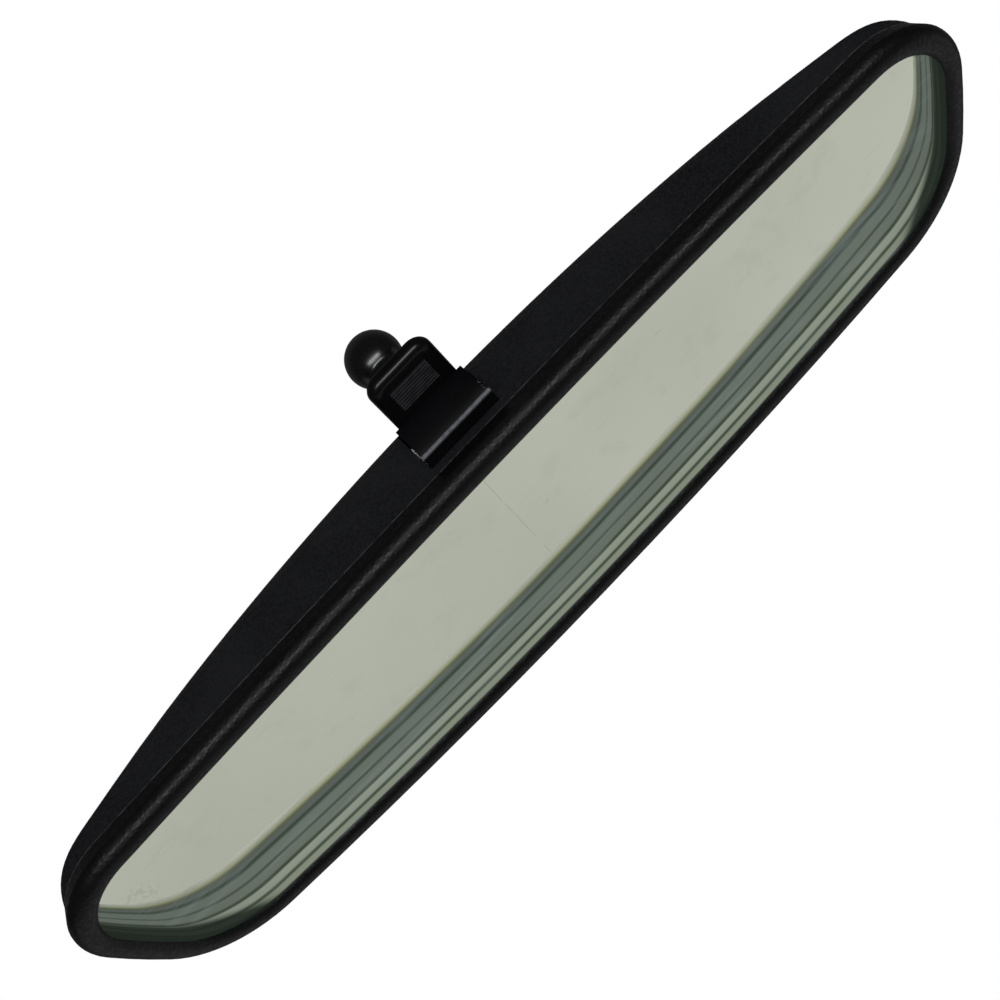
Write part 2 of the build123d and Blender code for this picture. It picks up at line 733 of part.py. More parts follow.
def detent_spring():
    """Leaf spring with two fingers that bear on the lever's cheeks."""
    pad_y = frame_y + spring_thickness
    half = spring_pad_height / 2
    pad = block(-spring_pad_half_width, spring_pad_half_width, frame_y, pad_y,
                cross_bar_z - half, cross_bar_z + half)
    for x, z in corners_of(rivet_x, cross_bar_z):
        pad -= rod_y(rivet_radius + seat_gap, -far, far, x, z)
    low_z = pivot_z - spring_reach
    top_z = cross_bar_z - half
    bend_z = top_z - spring_ramp
    front = spring_y - spring_thickness
    face = Polygon(
        (frame_y, top_z), (pad_y, top_z), (spring_y, bend_z), (spring_y, low_z),
        (front, low_z), (front, bend_z), align=None,
    )
    body = pad
    for x in (cheek_inner, -lever_width / 2):
        body += side_plate(face, x, x + lever_width / 2 - cheek_inner)
    return body


def spring_rivets():
    """Two rivets that hold the spring to the cross bar."""
    rivets = []
    top = frame_y + spring_thickness
    for x, z in corners_of(rivet_x, cross_bar_z):
        rivet = rod_y(rivet_radius, frame_front_y, top, x, z)
        rivet += rod_y(rivet_head_radius, top, top + rivet_head_height, x, z)
        rivet += rod_y(rivet_head_radius, frame_front_y - rivet_head_height, frame_front_y, x, z)
        rivets.append(rivet)
    return one(rivets)


def stop_bumpers():
    """Rubber studs on the case that the carrier meets at the end of the tilt."""
    spots = corners_of(bumper_x, bumper_z)
    return one([rod_y(bumper_radius, bumper_front_y, bumper_seat_y, x, z) for x, z in spots])


def main():
    os.makedirs("parts", exist_ok=True)
    outer = case_body(0)
    parts = {
        "rear_housing": rear_housing(outer),
        "front_bezel": front_bezel(),
        "mirror_glass": mirror_glass(),
        "silver_coating": silver_coating(),
        "backing_film": backing_film(),
        "foam_cushions": foam_cushions(),
        "slot_trim": slot_trim(),
        "ball_stud": ball_stud(),
        "stud_carrier": stud_carrier(),
        "stud_washer": stud_washer(),
        "stud_nut": stud_nut(),
        "dust_shield": dust_shield(),
        "hinge_bushes": hinge_bushes(),
        "hinge_pin": long_pin(hinge_y, hinge_z),
        "friction_washers": friction_washers(),
        "mechanism_frame": mechanism_frame(),
        "frame_screws": frame_screws(),
        "day_night_lever": day_night_lever(),
        "drive_pin": drive_pin(),
        "lever_pin": long_pin(pivot_y, pivot_z),
        "lever_spacers": lever_spacers(),
        "pin_retainers": pin_retainers(),
        "detent_spring": detent_spring(),
        "spring_rivets": spring_rivets(),
        "stop_bumpers": stop_bumpers(),
    }
    for name, shape in parts.items():
        export_step(shape, f"parts/{name}.step")


if __name__ == "__main__":
    main()
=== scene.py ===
import math

import bpy
from bpy.props import FloatProperty, FloatVectorProperty, PointerProperty
from bpy.types import Operator, Panel, PropertyGroup
from mathutils import Matrix, Vector

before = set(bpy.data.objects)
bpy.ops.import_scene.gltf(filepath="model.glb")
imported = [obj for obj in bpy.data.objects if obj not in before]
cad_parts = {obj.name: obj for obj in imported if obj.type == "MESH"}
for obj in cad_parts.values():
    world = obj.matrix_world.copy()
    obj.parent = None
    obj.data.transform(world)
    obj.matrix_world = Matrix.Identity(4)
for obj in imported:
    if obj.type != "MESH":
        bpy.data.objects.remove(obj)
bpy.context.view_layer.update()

bl_info = {
    "name": "Interior rearview mirror",
    "version": (1, 0, 0),
    "blender": (4, 5, 0),
    "location": "3D View > Sidebar > Rear mirror",
    "description": "Finishes, lamps, floor and camera for an interior rearview mirror",
    "category": "Object",
}

# The upper half of the bead line, in metres, as the source of the solids has it: one large arc along the
# top, a smaller leaning one at each end, a corner radius between them, and the lip inside it all.
BEAD_HALF_LENGTH = 0.1183
BEAD_HALF_HEIGHT = 0.0308
TOP_EDGE_RADIUS = 0.910
END_RADIUS = 0.180
END_LEAN = math.radians(16.5)
TOP_CORNER = 0.0255
CASE_CENTRE_Z = 0.005
LIP_INSET = 0.0026

# The lever's grip, the ledge's tip and the seam, in metres, as the source of the solids has them.
FIRST_RIB_Z = -0.03727
RIB_STEP = 0.000743
RIB_COUNT = 8
GRIP_HALF_WIDTH = 0.0048
GRIP_BACK_Y = -0.0375
LEDGE_TIP_Z = -0.0312
COVER_LOW_Z = -0.0293
SEAM_Y = -0.0526

# The painted reflection bands along the glass's upper edge, images of its thick edge and lip painted into the
# colour: how far down each tone lies, as a share of their reach, and the tone itself.
BAND_SPAN = 1.14
BANDS = (
    (0.000, (0.020, 0.024, 0.018)), (0.030, (0.220, 0.246, 0.190)), (0.118, (0.206, 0.240, 0.176)),
    (0.145, (0.050, 0.066, 0.042)), (0.178, (0.050, 0.066, 0.042)), (0.212, (0.238, 0.270, 0.212)),
    (0.318, (0.248, 0.282, 0.222)), (0.345, (0.040, 0.052, 0.034)), (0.382, (0.045, 0.058, 0.038)),
    (0.412, (0.122, 0.146, 0.116)), (0.550, (0.124, 0.148, 0.120)), (0.573, (0.055, 0.071, 0.055)),
    (0.597, (0.055, 0.071, 0.055)), (0.622, (0.124, 0.149, 0.124)), (0.765, (0.121, 0.147, 0.121)),
    (0.812, (0.035, 0.050, 0.036)), (0.842, (0.038, 0.054, 0.038)), (0.880, (0.088, 0.110, 0.096)),
    (0.925, (0.084, 0.100, 0.086)), (0.957, (0.084, 0.094, 0.064)), (0.978, (0.094, 0.104, 0.062)),
    (1.000, (0.148, 0.160, 0.092)), (1.022, (0.238, 0.254, 0.152)), (1.048, (0.302, 0.320, 0.210)),
    (1.085, (0.372, 0.380, 0.310)), (BAND_SPAN, (0.428, 0.448, 0.378)),
)

# The small patch of dashed marks near one end of the glass, in metres.
MARKS_PLACE = (0.1100, -0.0584, -0.0088)

# Dust and handling marks on black plastic and on metal, and a painted highlight on the bezel's rear edge.
PLASTIC_DUST = (0.030, 0.030, 0.029, 1.0)
METAL_DUST = (0.30, 0.29, 0.27, 1.0)
SEAM_HIGHLIGHT = (0.026, 0.026, 0.030, 1.0)

# How bright a polished piece sees the room where no card stands, and plain white.
DIM_ROOM = 0.06
WHITE = (1.0, 1.0, 1.0, 1.0)


# ---------------------------------------------------------------------------------------------------------
# Small helpers for building node trees
# ---------------------------------------------------------------------------------------------------------

class Tree:
    """A node tree under construction: adds nodes, links them and lays them out in columns."""

    def __init__(self, tree):
        self.tree = tree
        self.count = 0

    def node(self, kind, **settings):
        """Adds a node and sets its properties, and its sockets by their names or numbers."""
        made = self.tree.nodes.new(kind)
        made.location = (180 * (self.count // 4), -220 * (self.count % 4))
        self.count += 1
        sockets = settings.pop("sockets", {})
        for name, value in settings.items():
            setattr(made, name, value)
        for name, value in sockets.items():
            self.feed(made.inputs[name], value)
        return made

    def feed(self, socket, value):
        """Links a socket to another node's output, or sets its constant."""
        if isinstance(value, bpy.types.NodeSocket):
            self.tree.links.new(value, socket)
        elif isinstance(value, bpy.types.Node):
            self.tree.links.new(value.outputs[0], socket)
        else:
            socket.default_value = value

    def math(self, operation, first, second=0.0, third=0.0, clamp=False):
        """One Math node; returns its output."""
        made = self.node("ShaderNodeMath", operation=operation, use_clamp=clamp,
                         sockets={0: first, 1: second, 2: third})
        return made.outputs[0]

    def map_range(self, value, low, high, to_low=0.0, to_high=1.0):
        """One Map Range node with smooth ends; returns its output."""
        made = self.node("ShaderNodeMapRange", interpolation_type="SMOOTHSTEP",
                         sockets={0: value, 1: low, 2: high, 3: to_low, 4: to_high})
        return made.outputs[0]

    def mix(self, factor, first, second):
        """One colour Mix node; returns its output."""
        made = self.node("ShaderNodeMix", data_type="RGBA")
        self.feed(made.inputs[0], factor)
        self.feed(made.inputs[6], first)
        self.feed(made.inputs[7], second)
        return made.outputs[2]

    def noise(self, vector, scale, detail=2.0, roughness=0.5):
        """One Noise node; returns its value output."""
        made = self.node("ShaderNodeTexNoise",
                         sockets={"Vector": vector, "Scale": scale, "Detail": detail, "Roughness": roughness})
        return made.outputs[0]

    def product(self, *factors, clamp=False):
        """Math nodes that multiply their factors in order; returns the last one's output."""
        result = factors[0]
        for factor in factors[1:-1]:
            result = self.math("MULTIPLY", result, factor)
        return self.math("MULTIPLY", result, factors[-1], clamp=clamp)

    def object_place(self):
        """Where a point lies on its piece, in metres; returns the output."""
        return self.node("ShaderNodeTexCoord").outputs["Object"]

    def in_millimetres(self, vector):
        """Turns metres into millimetres; returns the output."""
        made = self.node("ShaderNodeVectorMath", operation="SCALE", sockets={0: vector, "Scale": 1000.0})
        return made.outputs[0]

    def stretched(self, vector, factors):
        """Scales X, Y and Z by their own factors; returns the output."""
        made = self.node("ShaderNodeVectorMath", operation="MULTIPLY", sockets={0: vector, 1: factors})
        return made.outputs[0]

    def parts(self, vector):
        """The X, Y and Z outputs of one Separate XYZ node."""
        return self.node("ShaderNodeSeparateXYZ", sockets={0: vector}).outputs

    def bump(self, height, distance, strength=1.0):
        """One Bump node; returns its output."""
        made = self.node("ShaderNodeBump",
                         sockets={"Strength": strength, "Distance": distance, "Height": height})
        return made.outputs[0]


def new_group(name, inputs, outputs):
    """A shader node group with named sockets; returns its tree helper, input node and output node."""
    tree = bpy.data.node_groups.new(name, "ShaderNodeTree")
    for kind, label, default in inputs:
        tree.interface.new_socket(name=label, in_out="INPUT", socket_type=kind).default_value = default
    for kind, label in outputs:
        tree.interface.new_socket(name=label, in_out="OUTPUT", socket_type=kind)
    helper = Tree(tree)
    return helper, helper.node("NodeGroupInput"), helper.node("NodeGroupOutput")


def place(helper, group, **sockets):
    """Adds a group to a material's tree and sets its inputs; underscores in names stand for spaces."""
    made = helper.node("ShaderNodeGroup")
    made.node_tree = group
    for name, value in sockets.items():
        helper.feed(made.inputs[name.replace("_", " ")], value)
    return made


def new_material(name):
    """A material with only an output and a Principled BSDF; returns it, its tree helper and the BSDF."""
    made = bpy.data.materials.new(name)
    made.use_nodes = True
    made.node_tree.nodes.clear()
    helper = Tree(made.node_tree)
    out = helper.node("ShaderNodeOutputMaterial")
    shader = helper.node("ShaderNodeBsdfPrincipled")
    made.node_tree.links.new(shader.outputs[0], out.inputs[0])
    return made, helper, shader


def dress(material, *names):
    """Gives CAD nodes a material."""
    for name in names:
        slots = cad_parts[name].data.materials
        slots.clear()
        slots.append(material)


def colour(values):
    """A property's colour as the four numbers that a colour socket takes."""
    return (values[0], values[1], values[2], 1.0)


def shade(tint, share, lift=0.0):
    """A darker or lighter version of a tint, as the four numbers that a colour socket takes."""
    return tuple(min(1.0, share * part + lift) for part in tint) + (1.0,)


# ---------------------------------------------------------------------------------------------------------
# Effects that several finishes share
# ---------------------------------------------------------------------------------------------------------

def moulded_grain():
    """Pebbled grain of a moulded skin: a height, and a mask of its low places."""
    if "Moulded grain" in bpy.data.node_groups:
        return bpy.data.node_groups["Moulded grain"]
    helper, given, result = new_group(
        "Moulded grain",
        [("NodeSocketFloat", "Pebble", 0.8), ("NodeSocketFloat", "Fine share", 0.4)],
        [("NodeSocketFloat", "Height"), ("NodeSocketFloat", "Valleys")],
    )
    millimetres = helper.in_millimetres(helper.object_place())
    shaken = helper.node("ShaderNodeTexNoise", sockets={"Vector": millimetres, "Scale": 1.1, "Detail": 2.0})
    bent = helper.node("ShaderNodeVectorMath", operation="MULTIPLY_ADD",
                       sockets={0: shaken.outputs["Color"], 1: (0.5, 0.5, 0.5), 2: millimetres})
    scale = helper.math("DIVIDE", 1.0, given.outputs["Pebble"])
    cells = helper.node("ShaderNodeTexVoronoi", feature="SMOOTH_F1",
                        sockets={"Vector": bent, "Scale": scale, "Smoothness": 0.55, "Randomness": 1.0})
    pebbles = helper.map_range(cells.outputs["Distance"], 0.05, 0.75, 1.0, 0.0)
    fine = helper.noise(millimetres, helper.product(scale, 3.1), 3.0, 0.6)
    share = given.outputs["Fine share"]
    kept = helper.math("SUBTRACT", 1.0, share)
    height = helper.math("MULTIPLY_ADD", fine, share, helper.product(pebbles, kept))
    valleys = helper.map_range(height, 0.30, 0.55, 1.0, 0.0)
    helper.feed(result.inputs["Height"], height)
    helper.feed(result.inputs["Valleys"], valleys)
    return helper.tree


def handling_wear():
    """Rubbed edges and settled dust: masks from the shape and a slow noise."""
    if "Handling wear" in bpy.data.node_groups:
        return bpy.data.node_groups["Handling wear"]
    helper, given, result = new_group(
        "Handling wear",
        [("NodeSocketFloat", "Edge", 0.5), ("NodeSocketFloat", "Patch size", 20.0),
         ("NodeSocketFloat", "Dust", 0.2)],
        [("NodeSocketFloat", "Rubbed"), ("NodeSocketFloat", "Dusty"), ("NodeSocketFloat", "Tone")],
    )
    millimetres = helper.in_millimetres(helper.object_place())
    pointiness = helper.node("ShaderNodeNewGeometry").outputs["Pointiness"]
    scale = helper.math("DIVIDE", 1.0, given.outputs["Patch size"])
    slow = helper.noise(millimetres, scale, 3.0, 0.55)
    quick = helper.noise(millimetres, 1.7, 4.0, 0.65)
    edges = helper.map_range(pointiness, 0.505, 0.56)
    broken = helper.map_range(quick, 0.35, 0.65)
    rubbed = helper.product(edges, broken, given.outputs["Edge"], clamp=True)
    specks = helper.map_range(helper.noise(millimetres, 2.6, 2.0, 0.5), 0.68, 0.74)
    film = helper.map_range(slow, 0.40, 0.75)
    dusty = helper.product(helper.math("MULTIPLY_ADD", film, 0.5, specks), given.outputs["Dust"], clamp=True)
    helper.feed(result.inputs["Rubbed"], rubbed)
    helper.feed(result.inputs["Dusty"], dusty)
    helper.feed(result.inputs["Tone"], slow)
    return helper.tree


def highlight_patches():
    """A painted highlight's mask, broken up in places: a noise leaves between the least share of it and the
    whole.
    """
    if "Highlight patches" in bpy.data.node_groups:
        return bpy.data.node_groups["Highlight patches"]
    helper, given, result = new_group(
        "Highlight patches",
        [("NodeSocketFloat", "Mask", 1.0), ("NodeSocketFloat", "Scale", 600.0),
         ("NodeSocketFloat", "Detail", 3.0), ("NodeSocketFloat", "Low", 0.3),
         ("NodeSocketFloat", "Least", 0.5)],
        [("NodeSocketFloat", "Mask")],
    )
    patches = helper.noise(helper.object_place(), given.outputs["Scale"], given.outputs["Detail"])
    left = helper.map_range(patches, given.outputs["Low"], 0.6, given.outputs["Least"], 1.0)
    helper.feed(result.inputs["Mask"], helper.product(given.outputs["Mask"], left))
    return helper.tree


def far_rim():
    """The arcs of the glass's upper edge, in metres: centres of the top, end and corner arcs, the corner's
    radius, and how far out the corner starts and ends."""
    top = Vector((0.0, BEAD_HALF_HEIGHT - TOP_EDGE_RADIUS))
    end = Vector((BEAD_HALF_LENGTH - END_RADIUS * math.cos(END_LEAN), -END_RADIUS * math.sin(END_LEAN)))
    corner = TOP_CORNER - LIP_INSET
    to_top = TOP_EDGE_RADIUS - TOP_CORNER
    to_end = END_RADIUS - TOP_CORNER
    between = end - top
    along = (to_top ** 2 - to_end ** 2 + between.length_squared) / (2 * between.length)
    aside = math.sqrt(to_top ** 2 - along ** 2)
    unit = between.normalized()
    foot = top + unit * along
    sideways = Vector((-unit.y, unit.x)) * aside
    centre = max(foot + sideways, foot - sideways, key=lambda spot: spot.y)
    first = centre + (centre - top).normalized() * corner
    last = centre + (centre - end).normalized() * corner
    return top, end, centre, corner, first.x, last.x


def rim_drop():
    """How far a point of the glass lies below its upper edge, measured straight down, in millimetres."""
    if "Rim drop" in bpy.data.node_groups:
        return bpy.data.node_groups["Rim drop"]
    helper, given, result = new_group(
        "Rim drop", [("NodeSocketFloat", "Spread", 0.0)],
        [("NodeSocketFloat", "Drop"), ("NodeSocketFloat", "Across")])
    across, _, up = helper.parts(helper.object_place())
    x = helper.math("ADD", helper.math("ABSOLUTE", across), given.outputs["Spread"])
    z = helper.math("SUBTRACT", up, CASE_CENTRE_Z)
    top, end, corner_centre, corner, first, last = far_rim()

    def arc(centre, radius):
        """Height of an arc at x."""
        off = helper.math("SUBTRACT", x, centre.x)
        inside = helper.math("MULTIPLY_ADD", off, helper.product(off, -1.0), radius * radius)
        return helper.math("ADD", helper.math("SQRT", helper.math("MAXIMUM", inside, 0.0)), centre.y)

    def beyond(limit, low, high):
        """The low value up to the limit in x, and the high one past it."""
        test = helper.math("GREATER_THAN", x, limit)
        return helper.math("MULTIPLY_ADD", test, helper.math("SUBTRACT", high, low), low)

    height = beyond(first, arc(top, TOP_EDGE_RADIUS - LIP_INSET), arc(corner_centre, corner))
    height = beyond(last, height, arc(end, END_RADIUS - LIP_INSET))
    helper.feed(result.inputs["Drop"], helper.product(helper.math("SUBTRACT", height, z), 1000.0))
    helper.feed(result.inputs["Across"], helper.product(across, 1000.0))
    return helper.tree


# ---------------------------------------------------------------------------------------------------------
# Finishes
# ---------------------------------------------------------------------------------------------------------

def grained_plastic(name, tint, pebble, fine_share, roughness, gloss, wear, dust, rubbed_tint, bright=None,
                    depth=0.00006):
    """Black moulded plastic with a grain, rubbed edges, a little dust and, where a mask is given, a painted
    highlight.
    """
    made, helper, shader = new_material(name)
    grain = place(helper, moulded_grain(), Pebble=pebble, Fine_share=fine_share)
    rub = place(helper, handling_wear(), Edge=wear, Dust=dust)
    base = helper.mix(grain.outputs["Valleys"], colour(tint), shade(tint, 0.55))
    toned = helper.mix(helper.map_range(rub.outputs["Tone"], 0.3, 0.7, 0.0, 0.35), base,
                       shade(tint, 1.35, 0.001))
    rubbed = helper.mix(rub.outputs["Rubbed"], toned, colour(rubbed_tint))
    # Painted highlight: where a mask is given, a light line is painted into the colour.
    if bright:
        rubbed = helper.mix(bright(helper, helper.object_place()), rubbed, SEAM_HIGHLIGHT)
    dusty = helper.mix(rub.outputs["Dusty"], rubbed, PLASTIC_DUST)
    helper.feed(shader.inputs["Base Color"], dusty)
    rough = helper.math("MULTIPLY_ADD", grain.outputs["Valleys"], 0.12, roughness)
    helper.feed(shader.inputs["Roughness"],
                helper.math("MULTIPLY_ADD", rub.outputs["Rubbed"], -0.10, rough, clamp=True))
    helper.feed(shader.inputs["Normal"], helper.bump(grain.outputs["Height"], depth))
    shader.inputs["Specular IOR Level"].default_value = gloss
    return made


def smooth_plastic(name, tint, roughness, gloss, wear, dust, ripple=0.000003, bright=None, bright_tint=None,
                   coat=None):
    """Smooth moulded plastic or rubber: a faint ripple, rubbed edges, a trace of dust and, where a mask is
    given, a painted highlight in its own tint.
    """
    made, helper, shader = new_material(name)
    rub = place(helper, handling_wear(), Edge=wear, Dust=dust)
    place_in = helper.object_place()
    lighter = shade(tint, 1.5, 0.001)
    toned = helper.mix(helper.map_range(rub.outputs["Tone"], 0.3, 0.7, 0.0, 0.4), colour(tint), lighter)
    rubbed = helper.mix(rub.outputs["Rubbed"], toned, lighter)
    # Painted highlight: where a mask is given, a light line is painted into the colour.
    if bright:
        rubbed = helper.mix(bright(helper, place_in), rubbed, colour(bright_tint))
    dusty = helper.mix(rub.outputs["Dusty"], rubbed, PLASTIC_DUST)
    helper.feed(shader.inputs["Base Color"], dusty)
    helper.feed(shader.inputs["Roughness"],
                helper.math("MULTIPLY_ADD", rub.outputs["Dusty"], 0.5, roughness, clamp=True))
    helper.feed(shader.inputs["Normal"], helper.bump(helper.noise(place_in, 900.0, 3.0, 0.6), ripple))
    shader.inputs["Specular IOR Level"].default_value = gloss
    if coat:
        helper.feed(shader.inputs["Coat Weight"], coat(helper, place_in))
        shader.inputs["Coat Roughness"].default_value = 0.24
    return made


def tab_polish(helper, place_in):
    """How polished the lever is: its tab is rubbed smooth by fingers, the cover above it stays dull."""
    return helper.map_range(helper.parts(place_in)[2], COVER_LOW_Z - 0.0008, COVER_LOW_Z, 0.40, 0.02)


def grip_lines(helper, place_in):
    """Mask of the painted highlight on the ribs' crests on the lever's front."""
    x, y, z = helper.parts(place_in)
    up = helper.math("SUBTRACT", z, FIRST_RIB_Z)
    crest = helper.map_range(helper.math("COSINE", helper.product(up, 2.0 * math.pi / RIB_STEP)), 0.0, 0.5)
    from_middle = helper.math("ABSOLUTE", helper.math("SUBTRACT", up, 0.5 * (RIB_COUNT - 1) * RIB_STEP))
    within = helper.math("LESS_THAN", from_middle, 0.5 * RIB_COUNT * RIB_STEP)
    across = helper.math("LESS_THAN", helper.math("ABSOLUTE", x), GRIP_HALF_WIDTH)
    front = helper.math("LESS_THAN", y, GRIP_BACK_Y)
    # Painted highlight: light lines painted on the ribs' crests.
    grid = helper.product(crest, within, across, front)
    patchy_highlight = place(helper, highlight_patches(), Mask=grid, Scale=500.0, Detail=2.0, Low=0.3, Least=0.55)
    return patchy_highlight.outputs["Mask"]


def ledge_lip(helper, place_in):
    """Mask of the painted highlight along the ledge's outermost lip."""
    # Painted highlight: a light line painted along the ledge's tip.
    lip = helper.map_range(helper.parts(place_in)[2], LEDGE_TIP_Z, LEDGE_TIP_Z + 0.0009, 1.0, 0.0)
    patchy_highlight = place(helper, highlight_patches(), Mask=lip, Scale=700.0, Detail=3.0, Low=0.3, Least=0.5)
    return patchy_highlight.outputs["Mask"]


def seam_line(helper, place_in):
    """Mask of the painted highlight along the bezel's rear edge, at the seam with the case."""
    # Painted highlight: a light line painted along the bezel's rear edge.
    edge = helper.map_range(helper.parts(place_in)[1], SEAM_Y - 0.0006, SEAM_Y - 0.0003)
    patchy_highlight = place(helper, highlight_patches(), Mask=edge, Scale=600.0, Detail=3.0, Low=0.35, Least=0.3)
    return patchy_highlight.outputs["Mask"]


def worked_steel(name, tint, roughness, brush):
    """Plated or tempered steel: fine drawn lines and small changes of tone."""
    made, helper, shader = new_material(name)
    rub = place(helper, handling_wear(), Edge=0.4, Dust=0.15)
    lines = helper.noise(helper.stretched(helper.object_place(), brush), 1.0, 3.0, 0.6)
    toned = helper.mix(helper.map_range(lines, 0.3, 0.7), shade(tint, 0.7), colour(tint))
    helper.feed(shader.inputs["Base Color"], helper.mix(rub.outputs["Dusty"], toned, METAL_DUST))
    shader.inputs["Metallic"].default_value = 1.0
    helper.feed(shader.inputs["Roughness"], helper.math("MULTIPLY_ADD", lines, 0.16, roughness, clamp=True))
    helper.feed(shader.inputs["Normal"], helper.bump(lines, 0.000008, 0.6))
    return made


def painted_edge_bands(helper, rim, millimetres, share):
    """The painted reflections that the thick upper edge throws: a ramp of tones with faint streaks, and
    painted shade towards the ends.
    """
    # Painted reflections: the tones are the glass's thick edge and the lip as seen in it.
    ramp = helper.node("ShaderNodeValToRGB", sockets={0: helper.math("DIVIDE", share, BAND_SPAN)})
    stops = ramp.color_ramp.elements
    for at, tone in BANDS[2:]:
        stops.new(at / BAND_SPAN)
    for stop, (at, tone) in zip(stops, BANDS):
        stop.position = at / BAND_SPAN
        stop.color = tone + (1.0,)
    streaks = helper.noise(helper.stretched(millimetres, (0.05, 1.0, 0.5)), 1.0, 3.0, 0.6)
    banded = helper.mix(helper.map_range(streaks, 0.45, 0.75, 0.0, 0.30), ramp.outputs[0],
                        (0.20, 0.24, 0.24, 1.0))
    # Painted shade: towards the ends the bands grow dim, and beside the lip there they turn almost black.
    end = helper.map_range(helper.math("ABSOLUTE", rim.outputs["Across"]), 88.0, 114.0)
    flat = helper.mix(helper.product(end, 0.30), banded, (0.062, 0.078, 0.062, 1.0))
    past_dark = helper.math("MULTIPLY_ADD", end, -0.38, share)
    lip_shade = helper.product(helper.map_range(past_dark, -0.12, 0.08, 0.95, 0.0),
                          helper.map_range(end, 0.0, 0.45))
    return helper.mix(lip_shade, flat, (0.006, 0.013, 0.007, 1.0))


def plain_silver(helper, rim, millimetres, silver):
    """The open face of the mirror: silver that fades slowly from place to place, and painted shade that
    darkens it towards one end.
    """
    slow = helper.noise(millimetres, 0.014, 2.0, 0.5)
    # Painted shade: the silver grows darker towards the +X end.
    tone = helper.math("ADD", helper.map_range(slow, 0.35, 0.65, 0.0, 0.5),
                       helper.map_range(rim.outputs["Across"], -110.0, 110.0, 0.0, 0.5))
    return helper.mix(tone, colour(silver), shade(silver, 0.86))


def glass_scratches(helper, rim, place_in, millimetres, hair_place):
    """Mask of the marks on the glass: rare fibres, one long hairline and a patch of small dashes."""
    turned = helper.node("ShaderNodeMapping", sockets={0: millimetres, "Rotation": (0.0, 0.35, 0.0),
                                                       "Scale": (0.05, 1.0, 1.6)})
    fibres = helper.node("ShaderNodeTexVoronoi", feature="DISTANCE_TO_EDGE",
                         sockets={"Vector": turned, "Scale": 0.16})
    line = helper.map_range(fibres.outputs["Distance"], 0.0, 0.003, 1.0, 0.0)
    rare = helper.map_range(helper.noise(millimetres, 0.09, 1.0), 0.62, 0.67)
    off_hair = helper.math("ABSOLUTE", helper.math("ADD", rim.outputs["Across"], hair_place * -1000.0))
    hair = helper.product(helper.map_range(off_hair, 0.02, 0.12, 1.0, 0.0),
                          helper.map_range(helper.noise(millimetres, 0.25, 2.0), 0.38, 0.52))
    to_patch = helper.node("ShaderNodeVectorMath", operation="DISTANCE",
                           sockets={0: place_in, 1: MARKS_PLACE}).outputs["Value"]
    dashes = helper.map_range(helper.noise(millimetres, 0.9, 2.0, 0.5), 0.50, 0.58)
    patch = helper.product(helper.map_range(to_patch, 0.0030, 0.0065, 0.5, 0.0), dashes)
    return helper.math("MAXIMUM", helper.product(line, rare), helper.math("MAXIMUM", hair, patch))


def silvered_glass(name, sizes):
    """The mirror: pale silver, and along the upper edge the painted reflection bands that its thick edge
    throws.
    """
    made, helper, shader = new_material(name)
    rim = place(helper, rim_drop(), Spread=0.0012)
    place_in = helper.object_place()
    millimetres = helper.in_millimetres(place_in)
    outer = helper.math("DIVIDE", rim.outputs["Across"], 100.0)
    stretch = helper.math("MULTIPLY_ADD", helper.product(outer, outer), 0.13, 1.0)
    wobble = helper.math("MULTIPLY_ADD", helper.noise(millimetres, 0.03, 1.0), 0.5, -0.25)
    step = helper.math("ADD", helper.math("DIVIDE", rim.outputs["Drop"], stretch), wobble)
    share = helper.math("DIVIDE", step, sizes.band_reach * 1000.0)
    # Past the bands the glass is real silver; within them the metal is off and the reflections are painted.
    beyond = helper.map_range(share, BAND_SPAN - 0.008, BAND_SPAN - 0.004)
    toned = helper.mix(beyond, painted_edge_bands(helper, rim, millimetres, share),
                       plain_silver(helper, rim, millimetres, sizes.silver))
    smudge = helper.map_range(helper.noise(millimetres, 0.11, 4.0, 0.6), 0.54, 0.72)
    smudged = helper.mix(helper.product(smudge, beyond, 0.16), toned, (0.60, 0.62, 0.52, 1.0))
    marks = glass_scratches(helper, rim, place_in, millimetres, sizes.hair_place)
    scratch = helper.product(marks, beyond)
    helper.feed(shader.inputs["Base Color"],
                helper.mix(helper.product(scratch, 0.40), smudged, (0.30, 0.31, 0.27, 1.0)))
    helper.feed(shader.inputs["Metallic"], beyond)
    rough = helper.math("MULTIPLY_ADD", smudge, 0.05, 0.035)
    helper.feed(shader.inputs["Roughness"], helper.math("MULTIPLY_ADD", scratch, 0.2, rough, clamp=True))
    shader.inputs["Specular IOR Level"].default_value = 0.05
    return made


def open_foam(name, tint):
    """Grey-black open-cell foam."""
    made, helper, shader = new_material(name)
    cells = helper.node("ShaderNodeTexVoronoi", feature="F1",
                        sockets={"Vector": helper.object_place(), "Scale": 1900.0})
    hollow = helper.map_range(cells.outputs["Distance"], 0.15, 0.6, 1.0, 0.0)
    helper.feed(shader.inputs["Base Color"], helper.mix(hollow, colour(tint), shade(tint, 0.35)))
    shader.inputs["Roughness"].default_value = 0.95
    helper.feed(shader.inputs["Normal"], helper.bump(cells.outputs["Distance"], 0.0002))
    return made


# ---------------------------------------------------------------------------------------------------------
# Sizes and colours that a user may change
# ---------------------------------------------------------------------------------------------------------

